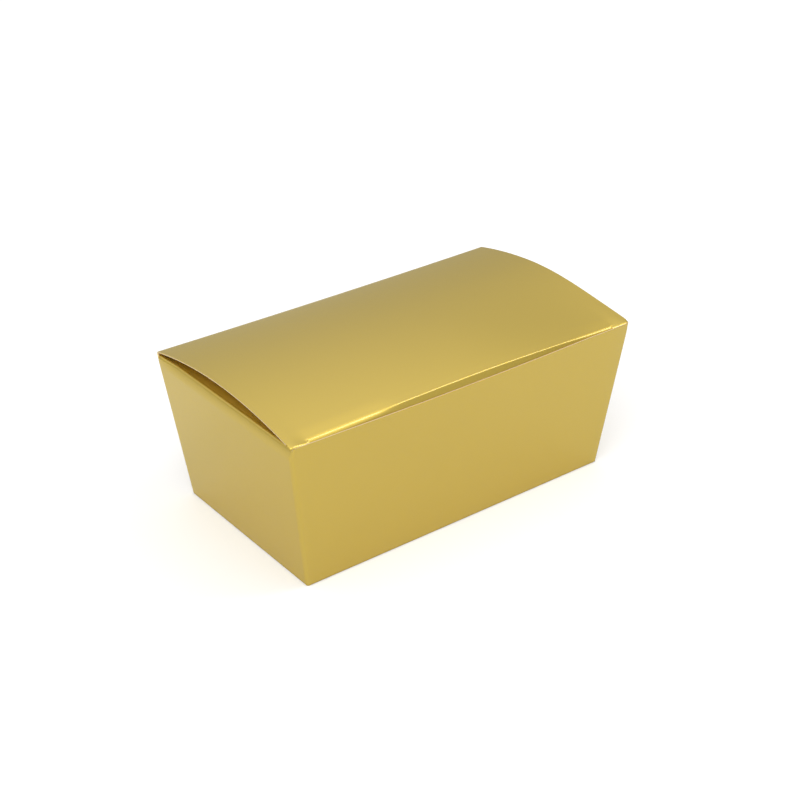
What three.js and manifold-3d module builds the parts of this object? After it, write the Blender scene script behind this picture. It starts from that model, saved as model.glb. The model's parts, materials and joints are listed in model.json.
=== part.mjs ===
// Gift carton for sweets: a box that flares to its rim, with an arched lid that tucks in at the front.
// It is folded from one sheet of gold-faced board. Each panel and each fold is a mesh of its own.
// Millimetres. X runs along the box, the front wall faces -Y, and Z is up from the base's underside.
import * as THREE from "three";
import { mergeVertices } from "three/addons/utils/BufferGeometryUtils.js";
import Module from "manifold-3d";

// Outside sizes of the box
const rimLength = 130;
const rimWidth = 73;
const baseLength = 116;
const baseWidth = 65;
const boxHeight = 51;

// The board, its folds and the play between neighbouring pieces
const boardThickness = 0.45;
const creaseSwell = 0.075; // how far a fold's roll stands proud of the board's faces
const cornerRadius = 1.5; // outside radius of the four upright folds
const boardGap = 0.1;

// Lid and tuck flap
const lidRise = 4.3; // height of the arch over the line from the rear fold to the front one
const lidInset = 0.7; // how far the lid stops short of the rim at each end
const frontBow = 1.2; // how far the middle of the front fold stands above its ends
const frontBulge = 1.4; // how far the tuck flap pushes out the middle of the front wall's edge
const tuckPlay = 0.35; // between the front fold's roll and the front wall
const tuckDepth = 15;
const tuckSlope = THREE.MathUtils.degToRad(6.5); // from upright, the free edge leaning inwards
const tuckInset = 6.5; // how far the tuck flap stops short of the lid at each end
const tuckCornerRadius = 9;
const tuckHingeGap = 0.3; // lets the flap turn under the fold without meeting the lid's edge

// End flaps, which lie under the lid
const endFlapReach = 30;
const endFlapDroop = THREE.MathUtils.degToRad(6); // below level
const endFlapInset = 0.4; // between the flap's side and the fold or wall that it passes
const endFlapShoulder = 3; // length of the 45 degree cut next to the fold
const endFlapTaper = THREE.MathUtils.degToRad(17); // of each side, from square to the fold
const endFlapCornerRadius = 5;

// Glued seam at the rear right corner
const seamTabWidth = 12;
const seamTabBevel = 4;
const seamTabFoot = 2; // height of the tab's lower end, clear of the folded base

// Base: two end flaps with glued lugs lie lowest, and two long flaps lock over each other above them
const baseEndReach = 30;
const baseEndBevel = 6;
const baseSideInset = 2; // between the long wall and the side of an end flap or its lug
const seamHalfGap = 0.3; // each long flap stops this far from the middle
const lockReach = 9; // how far a long flap's lock lies over the other flap
const lockRamp = 3; // length of the slope up to the lock
const lockRoot = 4; // length of the lock that is one with its flap
const lockInset = 7; // between the lock and the end wall
const lockMiddleGap = 3; // between the lock and the middle of the base
const lockBevel = 5;
const longFlapTaper = 3; // how much narrower the long flap is at the middle of the base, at each end

// Facets
const archSteps = 16;
const lengthSteps = 24;
const cornerSteps = 6;
const rollSides = 12;

const creaseRadius = boardThickness / 2 + creaseSwell;
const foldReach = creaseRadius + boardGap; // from a fold's axis to the edge of a panel

const halfLengthAt = (z) => (baseLength + ((rimLength - baseLength) * z) / boxHeight) / 2;
const halfWidthAt = (z) => (baseWidth + ((rimWidth - baseWidth) * z) / boxHeight) / 2;

// Axis of each fold that turns
const rimHalfLength = rimLength / 2;
const rimHalfWidth = rimWidth / 2;
const lidAxisY = rimHalfWidth - boardThickness / 2;
const tuckAxisY = -(rimHalfWidth - boardThickness - tuckPlay - creaseRadius);
const endAxisZ = boxHeight - boardThickness / 2 - creaseRadius - 2 * boardGap;
const endAxisX = halfLengthAt(endAxisZ) - boardThickness / 2;

const longWallTop = boxHeight - foldReach; // under the rear fold
const endWallTop = endAxisZ - foldReach;
const lidHalfLength = rimHalfLength - lidInset;
const tuckHalfLength = lidHalfLength - tuckInset;
const frontFoldHeight = (x) => boxHeight + frontBow * (1 - (x / lidHalfLength) ** 2);

const wasm = await Module();
wasm.setup();

const goldBoard = new THREE.MeshStandardMaterial({ color: 0xcbb25b, roughness: 0.4, metalness: 0.55 });
const carton = new THREE.Group();

function addPiece(name, geometry, material = goldBoard) {
  const mesh = new THREE.Mesh(geometry, material);
  mesh.name = name;
  carton.add(mesh);
  return mesh;
}

// Turns the faces round where a mirrored placing has left them pointing inwards.
function faceOut(geometry) {
  const position = geometry.getAttribute("position");
  const index = geometry.index.array;
  const [a, b, c] = [new THREE.Vector3(), new THREE.Vector3(), new THREE.Vector3()];
  let volume = 0;
  for (let i = 0; i < index.length; i += 3) {
    a.fromBufferAttribute(position, index[i]);
    b.fromBufferAttribute(position, index[i + 1]);
    c.fromBufferAttribute(position, index[i + 2]);
    volume += a.dot(b.cross(c));
  }
  if (volume < 0) {
    for (let i = 0; i < index.length; i += 3) {
      [index[i + 1], index[i + 2]] = [index[i + 2], index[i + 1]];
    }
  }
  geometry.computeVertexNormals();
  return geometry;
}

// A sheet of board as a closed solid. place gives the point for u from -1 to 1 across the sheet,
// v from 0 to 1 away from its root, and w from 0 at the outer face to 1 at the inner face.
function sheet(acrossSteps, awaySteps, place) {
  const geometry = new THREE.BoxGeometry(2, 1, 1, acrossSteps, awaySteps, 1);
  const position = geometry.getAttribute("position");
  for (let i = 0; i < position.count; i += 1) {
    const point = place(position.getX(i), position.getY(i) + 0.5, 0.5 - position.getZ(i));
    position.setXYZ(i, point.x, point.y, point.z);
  }
  return faceOut(geometry);
}

// A flat piece of board, cut to an outline in plan and lying at a height.
function flatPiece(outline, height) {
  const shape = new THREE.Shape(outline.map(([x, y]) => new THREE.Vector2(x, y)));
  const geometry = new THREE.ExtrudeGeometry(shape, { depth: boardThickness, bevelEnabled: false });
  return geometry.translate(0, 0, height);
}

function toSolid(geometry) {
  const bare = geometry.clone();
  bare.deleteAttribute("normal");
  bare.deleteAttribute("uv");
  const merged = mergeVertices(bare);
  const vertProperties = merged.getAttribute("position").array;
  const triVerts = new Uint32Array(merged.index.array);
  return new wasm.Manifold(new wasm.Mesh({ numProp: 3, vertProperties, triVerts }));
}

function toGeometry(solid) {
  const mesh = solid.getMesh();
  const geometry = new THREE.BufferGeometry();
  geometry.setAttribute("position", new THREE.BufferAttribute(mesh.vertProperties, 3));
  geometry.setIndex(new THREE.BufferAttribute(mesh.triVerts, 1));
  geometry.computeVertexNormals();
  return geometry;
}

// The sideways reach of a flap that has round corners at its free edge.
function roundedReach(straightReach, along, length, radius) {
  const intoCorner = Math.max(0, along - (length - radius));
  return straightReach - radius + Math.sqrt(Math.max(0, radius ** 2 - intoCorner ** 2));
}

// Walls

function frontWall() {
  return sheet(lengthSteps, 8, (u, v, w) => {
    const z = v * boxHeight;
    const bulge = frontBulge * (1 - u * u) * v * v;
    const x = u * (halfLengthAt(z) - cornerRadius - boardGap);
    return new THREE.Vector3(x, -(halfWidthAt(z) + bulge - w * boardThickness), z);
  });
}

// The rear wall runs from the left corner's fold to a cut edge at the right corner, over the seam tab.
function backWall() {
  return sheet(1, 1, (u, v, w) => {
    const z = v * longWallTop;
    const leftEnd = -(halfLengthAt(z) - cornerRadius - boardGap);
    const rightEnd = halfLengthAt(z) - boardThickness;
    const x = THREE.MathUtils.lerp(leftEnd, rightEnd, (u + 1) / 2);
    return new THREE.Vector3(x, halfWidthAt(z) - w * boardThickness, z);
  });
}

// How far the fold at the seam corner stands inside the rear wall's outer face.
const seamStep = boardThickness + boardGap;

function endWall(side) {
  const rearStep = side > 0 ? seamStep : 0;
  return sheet(1, 1, (u, v, w) => {
    const z = v * endWallTop;
    const reach = halfWidthAt(z) - cornerRadius - boardGap;
    const y = u < 0 ? -reach : reach - rearStep;
    return new THREE.Vector3(side * (halfLengthAt(z) - w * boardThickness), y, z);
  });
}

// An upright fold. Its top runs from the long wall's height down to the end wall's.
function cornerFold(sideX, sideY, longTop, step = 0) {
  return sheet(cornerSteps, 1, (u, v, w) => {
    const share = (u + 1) / 2;
    const turn = (share * Math.PI) / 2;
    const radius = cornerRadius - w * boardThickness;
    const z = v * THREE.MathUtils.lerp(longTop, endWallTop, share);
    const x = halfLengthAt(z) - cornerRadius + radius * Math.sin(turn);
    const y = halfWidthAt(z) - step - cornerRadius + radius * Math.cos(turn);
    return new THREE.Vector3(sideX * x, sideY * y, z);
  });
}

// The tab that joins the ends of the sheet, glued inside the rear wall.
function glueTab() {
  return sheet(1, 1, (u, v, w) => {
    const share = (1 - u) / 2;
    const bevel = seamTabBevel * share;
    const z = THREE.MathUtils.lerp(seamTabFoot + bevel, longWallTop - bevel, v);
    const x = halfLengthAt(z) - cornerRadius - boardGap - seamTabWidth * share;
    return new THREE.Vector3(x, halfWidthAt(z) - seamStep - w * boardThickness, z);
  });
}

addPiece("front_wall", frontWall());
addPiece("back_wall", backWall());
addPiece("left_wall", endWall(-1));
addPiece("right_wall", endWall(1));
addPiece("corner_fold_front_left", cornerFold(-1, -1, boxHeight));
addPiece("corner_fold_front_right", cornerFold(1, -1, boxHeight));
addPiece("corner_fold_rear_left", cornerFold(-1, 1, longWallTop));
addPiece("corner_fold_rear_right", cornerFold(1, 1, longWallTop, seamStep));
addPiece("glue_tab", glueTab());

// Base

const insideLength = halfLengthAt(0) - boardThickness - boardGap;
const insideWidth = halfWidthAt(0) - boardThickness - boardGap;
const cutHalf = boardGap / Math.SQRT2; // half of the gap along a 45 degree fold, measured along X or Y

// An end flap of the base, at the left end. A 45 degree fold from the front corner parts it from its lug.
function baseEndFlap() {
  const foldEnd = -insideWidth + baseEndReach + cutHalf;
  const side = insideWidth - baseSideInset;
  return flatPiece(
    [
      [-insideLength, -insideWidth + cornerRadius],
      [-insideLength + cornerRadius - cutHalf, -insideWidth + cornerRadius],
      [-insideLength + baseEndReach, foldEnd],
      [-insideLength + baseEndReach, side - baseEndBevel],
      [-insideLength + cornerRadius + baseEndBevel, side],
      [-insideLength + cornerRadius, side],
      [-insideLength, insideWidth - cornerRadius],
    ],
    0,
  );
}

function glueLug() {
  const rootX = -insideLength + cornerRadius + cutHalf;
  return flatPiece(
    [
      [rootX + baseSideInset, -insideWidth + baseSideInset],
      [-insideLength + baseEndReach, -insideWidth + baseSideInset],
      [-insideLength + baseEndReach, -insideWidth + baseEndReach - cutHalf],
      [rootX, -insideWidth + cornerRadius],
    ],
    0,
  );
}

// A long flap of the base, from the front wall to the middle. Its lock climbs over the other long flap.
function baseLongFlap() {
  const height = boardThickness + boardGap;
  const lockHeight = height + boardThickness + boardGap;
  const halfLength = halfLengthAt(height) - boardThickness - boardGap;
  const halfWidth = halfWidthAt(height) - boardThickness - boardGap;
  const rampStart = -seamHalfGap - lockRamp;
  const lockLeft = -halfLength + lockInset;
  const plate = flatPiece(
    [
      [-halfLength + cornerRadius, -halfWidth],
      [halfLength - cornerRadius, -halfWidth],
      [halfLength, -halfWidth + cornerRadius],
      [halfLength - longFlapTaper, -seamHalfGap],
      [-lockMiddleGap + boardGap, -seamHalfGap],
      [-lockMiddleGap + boardGap, rampStart],
      [lockLeft - boardGap, rampStart],
      [-halfLength + longFlapTaper, rampStart],
      [-halfLength, -halfWidth + cornerRadius],
    ],
    height,
  );
  const profile = new THREE.Shape([
    new THREE.Vector2(rampStart - lockRoot, height),
    new THREE.Vector2(rampStart, height),
    new THREE.Vector2(-seamHalfGap, lockHeight),
    new THREE.Vector2(lockReach, lockHeight),
    new THREE.Vector2(lockReach, lockHeight + boardThickness),
    new THREE.Vector2(-seamHalfGap, lockHeight + boardThickness),
    new THREE.Vector2(rampStart, height + boardThickness),
    new THREE.Vector2(rampStart - lockRoot, height + boardThickness),
  ]);
  const strip = new THREE.ExtrudeGeometry(profile, {
    depth: -lockMiddleGap - lockLeft,
    bevelEnabled: false,
  });
  strip.rotateX(Math.PI / 2).rotateZ(Math.PI / 2).translate(lockLeft, 0, 0);
  const trim = flatPieceTall([
    [lockLeft - boardGap, rampStart - lockRoot - boardGap],
    [-lockMiddleGap + boardGap, rampStart - lockRoot - boardGap],
    [-lockMiddleGap + boardGap, lockReach - lockBevel],
    [-lockMiddleGap - lockBevel, lockReach + boardGap],
    [lockLeft + lockBevel, lockReach + boardGap],
    [lockLeft - boardGap, lockReach - lockBevel],
  ]);
  return toGeometry(toSolid(plate).add(toSolid(strip).intersect(toSolid(trim))));
}

// A tall cutter with an outline in plan, from below the base to well above it.
function flatPieceTall(outline) {
  const shape = new THREE.Shape(outline.map(([x, y]) => new THREE.Vector2(x, y)));
  const depth = 10 * boardThickness;
  return new THREE.ExtrudeGeometry(shape, { depth, bevelEnabled: false }).translate(0, 0, -boardThickness);
}

addPiece("base_flap_left", baseEndFlap());
addPiece("base_flap_right", baseEndFlap().rotateZ(Math.PI));
addPiece("glue_lug_left", glueLug());
addPiece("glue_lug_right", glueLug().rotateZ(Math.PI));
addPiece("base_flap_front", baseLongFlap());
addPiece("base_flap_back", baseLongFlap().rotateZ(Math.PI));

// Lid

// Height of the lid's middle surface, with share running from 0 at the rear fold to 1 at the front fold.
function lidHeight(x, share) {
  const arch = 4 * lidRise * share * (1 - share);
  return boxHeight + (frontFoldHeight(x) - boxHeight) * share + arch;
}

function lidPanel() {
  const span = lidAxisY - tuckAxisY;
  const edgeShare = foldReach / span;
  return sheet(lengthSteps, archSteps, (u, v, w) => {
    const x = u * lidHalfLength;
    const share = THREE.MathUtils.lerp(edgeShare, 1 - edgeShare, v);
    const slope = (lidHeight(x, share + 0.001) - lidHeight(x, share - 0.001)) / (0.002 * span);
    const outward = new THREE.Vector3(0, slope, 1).normalize();
    const middle = new THREE.Vector3(x, lidAxisY - share * span, lidHeight(x, share));
    return middle.addScaledVector(outward, (0.5 - w) * boardThickness);
  });
}

function tuckFlap() {
  return sheet(lengthSteps, 8, (u, v, w) => {
    const share = Math.sin((v * Math.PI) / 2);
    const reach = roundedReach(tuckHalfLength, share * tuckDepth, tuckDepth, tuckCornerRadius);
    const x = u * reach;
    const foldDrop = boxHeight - frontFoldHeight(x) + foldReach + tuckHingeGap;
    const drop = THREE.MathUtils.lerp(foldDrop, tuckDepth, share);
    const below = drop + frontFoldHeight(x) - boxHeight;
    const outward = new THREE.Vector3(0, -Math.cos(tuckSlope), -Math.sin(tuckSlope));
    const y = tuckAxisY + below * Math.tan(tuckSlope);
    const middle = new THREE.Vector3(x, y, boxHeight - drop);
    return middle.addScaledVector(outward, (0.5 - w) * boardThickness);
  });
}

function endFlap(side) {
  const rootReach = Math.min(-tuckAxisY - creaseRadius, lidAxisY - creaseRadius) - endFlapInset;
  return sheet(12, 12, (u, v, w) => {
    const along = THREE.MathUtils.lerp(foldReach, endFlapReach, v);
    const shoulder = Math.min(along, endFlapShoulder);
    const taper = Math.max(0, along - endFlapShoulder) * Math.tan(endFlapTaper);
    const reach = roundedReach(rootReach - shoulder - taper, along, endFlapReach, endFlapCornerRadius);
    const outward = new THREE.Vector3(side * Math.sin(endFlapDroop), 0, Math.cos(endFlapDroop));
    const middle = new THREE.Vector3(
      side * (endAxisX - along * Math.cos(endFlapDroop)),
      u * reach,
      endAxisZ - along * Math.sin(endFlapDroop),
    );
    return middle.addScaledVector(outward, (0.5 - w) * boardThickness);
  });
}

// The roll of a straight fold, along X or along Y.
function foldRoll(length, alongY) {
  const roll = new THREE.CylinderGeometry(creaseRadius, creaseRadius, length, rollSides, 1);
  return alongY ? roll : roll.rotateZ(Math.PI / 2);
}

// The front fold's roll follows the bow of the lid's front edge.
function frontFoldRoll() {
  const roll = new THREE.CylinderGeometry(
    creaseRadius,
    creaseRadius,
    2 * tuckHalfLength,
    rollSides,
    lengthSteps,
  );
  roll.rotateZ(Math.PI / 2);
  const position = roll.getAttribute("position");
  for (let i = 0; i < position.count; i += 1) {
    position.setZ(i, position.getZ(i) + frontFoldHeight(position.getX(i)));
  }
  return roll.translate(0, tuckAxisY, 0);
}

addPiece("lid_panel", lidPanel());
addPiece("lid_crease", foldRoll(2 * lidHalfLength, false)).position.set(0, lidAxisY, boxHeight);
addPiece("tuck_crease", frontFoldRoll());
addPiece("tuck_flap", tuckFlap());

const endRollLength = rimWidth - 2 * cornerRadius;
addPiece("left_flap_crease", foldRoll(endRollLength, true)).position.set(-endAxisX, 0, endAxisZ);
addPiece("right_flap_crease", foldRoll(endRollLength, true)).position.set(endAxisX, 0, endAxisZ);
addPiece("left_end_flap", endFlap(-1));
addPiece("right_end_flap", endFlap(1));

export default carton;
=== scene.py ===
import json
import math
from functools import cache

import bmesh
import bpy
from mathutils import Matrix, Vector


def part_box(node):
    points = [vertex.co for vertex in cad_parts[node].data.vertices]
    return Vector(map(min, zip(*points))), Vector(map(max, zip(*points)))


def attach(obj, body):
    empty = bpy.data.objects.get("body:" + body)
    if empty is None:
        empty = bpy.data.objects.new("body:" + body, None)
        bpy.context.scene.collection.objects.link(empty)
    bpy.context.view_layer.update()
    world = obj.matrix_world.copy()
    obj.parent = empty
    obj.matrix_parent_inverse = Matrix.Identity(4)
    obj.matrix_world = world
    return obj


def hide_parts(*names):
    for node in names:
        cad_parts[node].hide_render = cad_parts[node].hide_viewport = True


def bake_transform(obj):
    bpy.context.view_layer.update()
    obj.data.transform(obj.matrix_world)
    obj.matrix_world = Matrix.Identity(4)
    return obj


bl_info = {
    "name": "Candy Box",
    "version": (1, 0, 0),
    "blender": (4, 5, 0),
    "location": "View3D > Sidebar > Candy Box",
    "description": "Dresses a flared gold carton for sweets with folded board",
    "category": "Object",
}

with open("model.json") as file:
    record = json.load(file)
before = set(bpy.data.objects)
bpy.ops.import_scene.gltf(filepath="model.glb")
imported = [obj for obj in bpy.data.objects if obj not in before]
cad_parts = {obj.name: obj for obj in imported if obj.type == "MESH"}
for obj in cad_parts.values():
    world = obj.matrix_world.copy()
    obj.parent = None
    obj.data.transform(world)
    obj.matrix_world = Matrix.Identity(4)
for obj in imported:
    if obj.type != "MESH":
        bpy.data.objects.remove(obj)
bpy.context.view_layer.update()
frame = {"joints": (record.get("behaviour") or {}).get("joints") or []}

MM = 0.001
HINGES = {joint["name"]: Vector(joint["pos_m"]) for joint in frame["joints"]}
WALL_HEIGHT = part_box("front_wall")[1].z
LID_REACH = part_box("lid_panel")[1].x
TUCK_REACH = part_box("tuck_crease")[1].x

# Order of the three materials on every piece of board
OUTSIDE, INSIDE, CUT_EDGE = 0, 1, 2
FILM_ROLL = 0.4  # share of a cut edge that the film covers
FLAT_ANGLE = math.radians(30)  # board that bends less than this between two faces looks smooth
GAP = 0.1 * MM  # clearance between layers of board
TOUCH = 0.01 * MM  # two places that are closer than this count as one
FACING = 0.05  # how far a face's normal may be off the way that its wall looks
FOLD_STEPS = 8  # edges round a fold's section

# The walls, with the seam at the rear right corner
SEAM_STEP = 0.55 * MM  # how far the seam corner stands inside the rear wall's outer face
SEAM_TAB_WIDTH = 12 * MM
SEAM_TAB_BEVEL = 4 * MM
SEAM_TAB_FOOT = 2 * MM
SHOULDER_HEIGHT = 3 * MM  # height of the soft bend under each end fold
SHOULDER_RADIUS = 5.2 * MM
SHOULDER_SHIFT = SHOULDER_HEIGHT ** 2 / (2 * SHOULDER_RADIUS)  # how far it takes the fold inwards
SHOULDER_FADE = 12 * MM  # length over which it fades out towards the rear corner
SHOULDER_LEAST = 0.1  # share of it that is left there
FRONT_DROP_LEFT = 0.15 * MM  # how much lower the front wall's upper corners are cut
FRONT_DROP_RIGHT = 0.35 * MM
FRONT_DROP_START = 45 * MM  # distance from the middle at which that starts
FRONT_DROP_RUN = 15 * MM
FRONT_COLUMNS = 40
FOOT_LEVELS = [0.02, 0.05]  # heights of the level cuts, as shares of the wall
WALL_LEVELS = [0.1 * n for n in range(1, 10)]
RIM_LEVELS = [0.93 + 0.007 * n for n in range(10)]
# Upright cuts in the end walls, where the shoulder fades out
SHOULDER_CUTS = [y * MM for y in (24, 26, 28, 29.5, 31, 32.5, 34)]
REAR_SAG = 0.35 * MM  # how much lower the rear fold is in its middle

# The end flaps
END_FOLD_RADIUS = 1.1 * MM
END_FOLD_OVERLAP = 0.65  # share of the corner's radius that the end fold reaches round it
END_FLAP_DROOP = math.radians(6)
END_FLAP_SHOULDER = 3 * MM  # length along which the flap's sides step in
END_FLAP_TAPER = math.radians(17)
END_FLAP_CORNER_RADIUS = 5 * MM
END_FLAP_CLEARANCE = 0.7 * MM
END_FLAP_SPRING = 1.1 * MM  # how far an end flap springs up behind its fold
END_FLAP_SPRING_LENGTH = 9 * MM
SPRING_PEAK, SPRING_END = 0.5, 2  # in spring lengths from the fold
END_FLAP_COLUMNS = 56
END_FLAP_STOPS = [1.9, 2.4, 3, 3.6, 4.2, 4.8, 5.4, 6, 7, 8, 9, 10, 12, 14, 16, 18, 20]
END_FLAP_STOPS += [22, 24, 25.5, 27, 28, 28.8, 29.4, 29.8, 30]  # rows of the flap, in mm from its fold

# The lid and its front fold
ARCH_STEPS = 42
LID_FRONT_STRIP = 5.5 * MM  # the part of the lid that is made with the tuck flap
STRIP_STEPS = 20
CUT_ROLL_RADIUS = 1.1 * MM  # how the die pressed down the cut front edge at the lid's corners
CUT_ROLL_TURN = math.radians(42)
CUT_ROLL_STEPS = 5
CORNER_STEPS = 12  # edges of the arch beside the strip, up to the cut edge
LID_FLARE = 0.3 * MM  # how much further the lid reaches at its front corners
LID_REAR_INSET = 0.1 * MM  # and how much less at its rear fold
LID_CORNER_REACH = 0.75 * MM  # how far the front corners reach past the fold line
LID_CORNER_SET_BACK = 0.4 * MM  # and how far their edge runs in beside the fold
LID_CORNER_SET_BACK_RUN = 2.5 * MM
LID_CORNER_LIFT = 0.15 * MM  # how far they stand up
LIFT_START = 0.8  # share of the lid's width at which the corners start to lift
CUT_EDGE_START = 0.99  # and past which only their cut edge lies
LID_CORNER_RADIUS = 0.9 * MM
LID_CORNER_RUN = 5.5 * MM  # length over which a corner comes free of the fold
BOW_SHAPE = 1.8  # how much the front fold's bow keeps to its middle
BOW_EDGE = 1 * MM  # depth below the rim at which the bow starts to fade out down the tuck flap
SAG_START = 0.35  # share of the lid's width at which the right end starts to sag
SAG_MIDDLE = 0.7 * MM  # how far it sags halfway to the front, and at the front
SAG_FRONT = 0.45 * MM
SAG_SHAPE = 1.6  # how far forward its deepest place lies
SAG_NEAR = 5 * MM  # distance right of the middle at which the sag starts
SAG_RUN = 55 * MM
SAG_DEPTH = 3 * MM  # how far it reaches down the tuck flap
FOLD_SET_BACK = 0.45 * MM  # how far the pressed fold lies behind its score line
FOLD_LIMIT = 5.2 * MM  # distance from the fold within which its section is redrawn
FOLD_DEPTH = 2 * MM  # and how far below the rim
FOLD_FADE = 2 * MM  # distance at which that starts to fade out, and length of the fade
FOLD_COLUMNS = 48
SINK_REACH = 5 * MM  # how far behind the fold its sinking is felt
# What the fold gains at each end, where that starts, from the middle, and over what length it grows
SINK_LEFT, SINK_LEFT_START, SINK_LEFT_RUN = 0.28 * MM, 27 * MM, 8 * MM
SINK_RIGHT, SINK_RIGHT_START, SINK_RIGHT_RUN = 0.15 * MM, 38 * MM, 14 * MM
ROUND_LEFT, ROUND_LEFT_START, ROUND_LEFT_RUN = 1.9 * MM, 27 * MM, 6 * MM
ROUND_RIGHT, ROUND_RIGHT_START, ROUND_RIGHT_RUN = 0.9 * MM, 36 * MM, 10 * MM
WAVE = 0.12 * MM  # unevenness of the fold's radius, from two waves along it
WAVE_TURNS = (410, 173)  # in radians for a metre
WAVE_PHASE = 0.8
# Columns of the lid beyond the fold's ends, as shares of the way to its corner
CORNER_SHARES = (0.06, 0.12, 0.2, 0.3, 0.4, 0.5, 0.6, 0.7, 0.8, 0.87, 0.93, 0.97, 1)

# The tuck flap
TUCK_SPRING = math.radians(26)  # outward slope of the tuck flap just under its fold
TUCK_SPRING_LENGTH = 0.7 * MM
TUCK_BOW_FADE = 1.5  # how fast the bow fades out down the flap
TUCK_BEND_RADIUS = 2 * MM  # where it bends back to run down along the front wall
TUCK_PRESS = math.radians(1)  # how much further in it leans than the front wall
TUCK_CORNER_RADIUS = 9 * MM
TUCK_ROWS = 18

# The base
BASE_FOLD_RADIUS = 0.6 * MM
BASE_FOLD_STEPS = 6
BASE_FLAP_COLUMNS = 16
BASE_FLAP_REACH = 30 * MM
BASE_FLAP_INSET = 2 * MM
BASE_FLAP_BEVEL = 6 * MM
SCORE_HALF_WIDTH = 0.4 * MM
SCORE_DEPTH = 0.14 * MM
LONG_FLAP_RAMP = 2 * MM  # length over which a long flap rises on to the end flaps
RISE_STEPS = 2
LONG_FLAP_STOP = 3.3 * MM  # distance from the middle at which the lock's slot ends
LONG_FLAP_TAPER = 3 * MM  # how much narrower it is there at each end
LONG_FLAP_LAP = 3 * MM  # how far the flap reaches past that
LOCK_INSET = 7.5 * MM  # distance of the lock from the end wall
LOCK_END = 3 * MM  # and of its other end from the middle
LOCK_REACH = 4.3 * MM  # length of its straight part
LOCK_NOSE = 5 * MM  # length of its bevelled nose
LOCK_BEVEL = 3 * MM


def span(name, description, default):
    return bpy.props.FloatProperty(
        name=name, description=description, default=default, precision=5, unit="LENGTH")


def paint(name, description, default):
    return bpy.props.FloatVectorProperty(
        name=name, description=description, default=default, subtype="COLOR", min=0, max=1)


class CandyBoxSizes(bpy.types.PropertyGroup):
    """Sizes of the folded carton, which match those of its construction."""

    rim_length: span("Rim length", "Outside length of the box at its rim", 130 * MM)
    rim_width: span("Rim width", "Outside width of the box at its rim", 73 * MM)
    base_length: span("Base length", "Outside length of the box where it stands", 116 * MM)
    base_width: span("Base width", "Outside width of the box where it stands", 65 * MM)
    height: span("Height", "Height of the front wall's cut edge", WALL_HEIGHT)
    board: span("Board", "Thickness of the board", 0.45 * MM)
    corner_radius: span("Corner radius", "Outside radius of the upright folds", 1.5 * MM)
    lid_rise: span("Lid rise", "Height of the lid's arch", 4.3 * MM)
    front_bow: span("Front bow", "How far the front fold's middle stands above its ends", 1.2 * MM)
    front_bulge: span("Front bulge", "How far the tuck flap pushes out the front wall's edge", 0.5 * MM)
    front_dip: span("Front dip", "How far the front wall's edge is cut lower in the middle", 0.6 * MM)
    tuck_depth: span("Tuck depth", "Depth of the tuck flap below the rim", 15 * MM)
    end_flap_reach: span("End flap reach", "Length of the end flaps under the lid", 30 * MM)
    fold_radius: span("Fold radius", "Outside radius of a sharp fold", 0.6 * MM)


class CandyBoxColours(bpy.types.PropertyGroup):
    """Colours of the board's faces and of its cut edge."""

    gold: paint("Gold", "Colour of the laminated outside", (0.60, 0.43, 0.051))
    bare: paint("Bare board", "Colour of the uncoated inside", (0.76, 0.57, 0.26))
    edge: paint("Cut edge", "Colour of the raw cut edge", (0.58, 0.44, 0.25))


def sizes():
    return bpy.context.scene.candy_box_sizes


def half_length(z):
    """Half of the box's outside length at a height."""
    s = sizes()
    return (s.base_length + (s.rim_length - s.base_length) * z / s.height) / 2


def half_width(z):
    """Half of the box's outside width at a height."""
    s = sizes()
    return (s.base_width + (s.rim_width - s.base_width) * z / s.height) / 2


def end_lean():
    """Angle of the end walls from upright."""
    return math.atan(half_length(1) - half_length(0))


def side_lean():
    """Angle of the long walls from upright."""
    return math.atan(half_width(1) - half_width(0))


def direction(angle):
    """Unit vector in a section's plane, with the angle measured from its first axis."""
    return Vector((math.cos(angle), math.sin(angle)))


def point_at(run, point):
    """A section's point in space: run is the axis that the section's first coordinate follows."""
    if run == "X":
        return Vector((point[0], 0, point[1]))
    return Vector((0, point[0], point[1]))


def clamp(share):
    return min(1, max(0, share))


def ease(share):
    """A smooth step from 0 to 1, level outside them."""
    share = clamp(share)
    return share * share * (3 - 2 * share)


def round_off(radius, into):
    """How far a rounded corner steps in, at a distance into it."""
    return radius - math.sqrt(max(0, radius ** 2 - max(0, into) ** 2))


def forward_share(y):
    """0 behind the lid's rear hinge, 1 in front of its front one, and between them over the lid."""
    rear, front = HINGES["lid_hinge"].y, HINGES["tuck_hinge"].y
    return clamp((rear - y) / (rear - front))


# Rows of edges that are swept into sheets of board


def row(bm, middle, half, edges):
    """The first row of a mesh: equal edges from one side of a middle to the other."""
    edge = bm.edges.new((bm.verts.new(middle - half), bm.verts.new(middle + half)))
    bmesh.ops.subdivide_edges(bm, edges=[edge], cuts=edges - 1)
    return bm.edges[:]


def row_through(bm, points):
    """A row of edges through a list of points."""
    verts = [bm.verts.new(point) for point in points]
    return [bm.edges.new(pair) for pair in zip(verts, verts[1:])]


def verts_of(edges):
    return list({vert for edge in edges for vert in edge.verts})


def sweep(bm, edges, offset):
    """Extrudes a row by an offset and returns the new row."""
    made = bmesh.ops.extrude_edge_only(bm, edges=edges)["geom"]
    verts = {item for item in made if isinstance(item, bmesh.types.BMVert)}
    bmesh.ops.translate(bm, verts=list(verts), vec=offset)
    return [
        item for item in made
        if isinstance(item, bmesh.types.BMEdge) and set(item.verts) <= verts
    ]


def turn(bm, edges, centre, axis, angle, steps):
    """Spins a row about an axis and returns the last row."""
    made = bmesh.ops.spin(
        bm, geom=verts_of(edges) + edges, cent=centre, axis=axis, angle=angle, steps=steps)
    return [item for item in made["geom_last"] if isinstance(item, bmesh.types.BMEdge)]


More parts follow.
